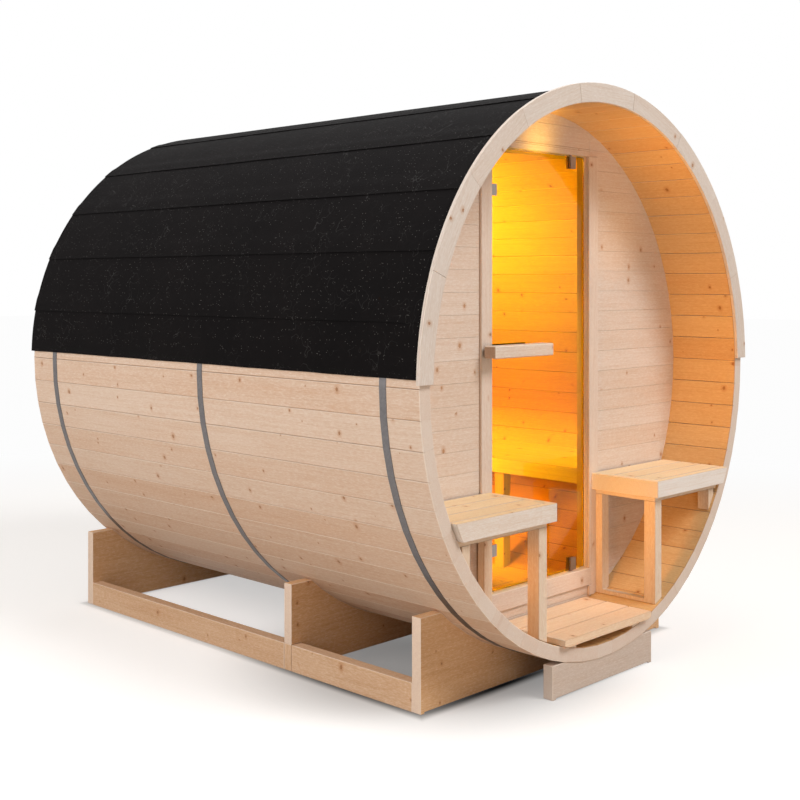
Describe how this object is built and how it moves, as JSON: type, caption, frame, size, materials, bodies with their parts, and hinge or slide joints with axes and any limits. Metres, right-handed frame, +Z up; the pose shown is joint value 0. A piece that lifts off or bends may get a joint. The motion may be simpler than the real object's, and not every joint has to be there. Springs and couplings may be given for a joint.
{
  "type": "barrel sauna",
  "caption": "Timber barrel sauna lying on a cradle: felt-covered upper half, steel straps, a recessed porch with benches and an outward-opening amber glass door.",
  "frame": {"origin": "middle of the outline on the ground", "axes": "+Z up, +Y from the glass door towards the rear wall along the barrel, +X to the right seen from the front"},
  "size_m": [2.0338, 2.182, 2.103],
  "materials": {
    "staves": "planed, untreated",
    "fascia": "planed, untreated",
    "steel": "galvanised",
    "felt": "fine mineral surface",
    "wall_boards": "planed, untreated",
    "door_frame_wood": "planed, untreated",
    "tinted_glass": "amber tint, polished",
    "handle_wood": "planed, rounded edges",
    "fitting_metal": "satin",
    "floor_wood": "planed, untreated",
    "bench_wood": "planed, untreated",
    "cradle_wood": "planed, untreated"
  },
  "bodies": {
    "sauna": {"staves_crown": "staves", "staves_bottom": "staves", "staves_left_1": "staves", "staves_left_2": "staves", "staves_left_3": "staves", "staves_left_4": "staves", "staves_right_1": "staves", "staves_right_2": "staves", "staves_right_3": "staves", "staves_right_4": "staves", "fascia_arch": "fascia", "steel_bands": "steel", "roof_felt_eaves": "felt", "roof_felt_2": "felt", "roof_felt_3": "felt", "roof_felt_4": "felt", "roof_felt_5": "felt", "roof_felt_crown": "felt", "front_wall_left": "wall_boards", "front_wall_right": "wall_boards", "front_wall_over_door": "wall_boards", "front_wall_under_door": "wall_boards", "rear_wall": "wall_boards", "door_jambs": "door_frame_wood", "door_head": "door_frame_wood", "door_sill": "door_frame_wood", "door_posts": "door_frame_wood", "pivot_pins": "fitting_metal", "floor_bearers": "floor_wood", "porch_floor": "floor_wood", "room_floor": "floor_wood", "porch_bench_left_seat": "bench_wood", "porch_bench_left_frame": "bench_wood", "porch_bench_right_seat": "bench_wood", "porch_bench_right_frame": "bench_wood", "room_bench_seat": "bench_wood", "room_bench_frame": "bench_wood", "cradle_front": "cradle_wood", "cradle_middle": "cradle_wood", "cradle_rear": "cradle_wood", "porch_support": "cradle_wood", "cradle_rails": "cradle_wood"},
    "door": {"door_glass": "tinted_glass", "door_handle_outside": "handle_wood", "door_handle_inside": "handle_wood", "door_fittings": "fitting_metal"}
  },
  "joints": [
    {"name": "door_swing", "type": "hinge", "parent": "sauna", "child": "door", "pos_m": [0.212, -0.786, 1.097], "axis": [0, 0, 1], "range_deg": [0, 90]}
  ]
}
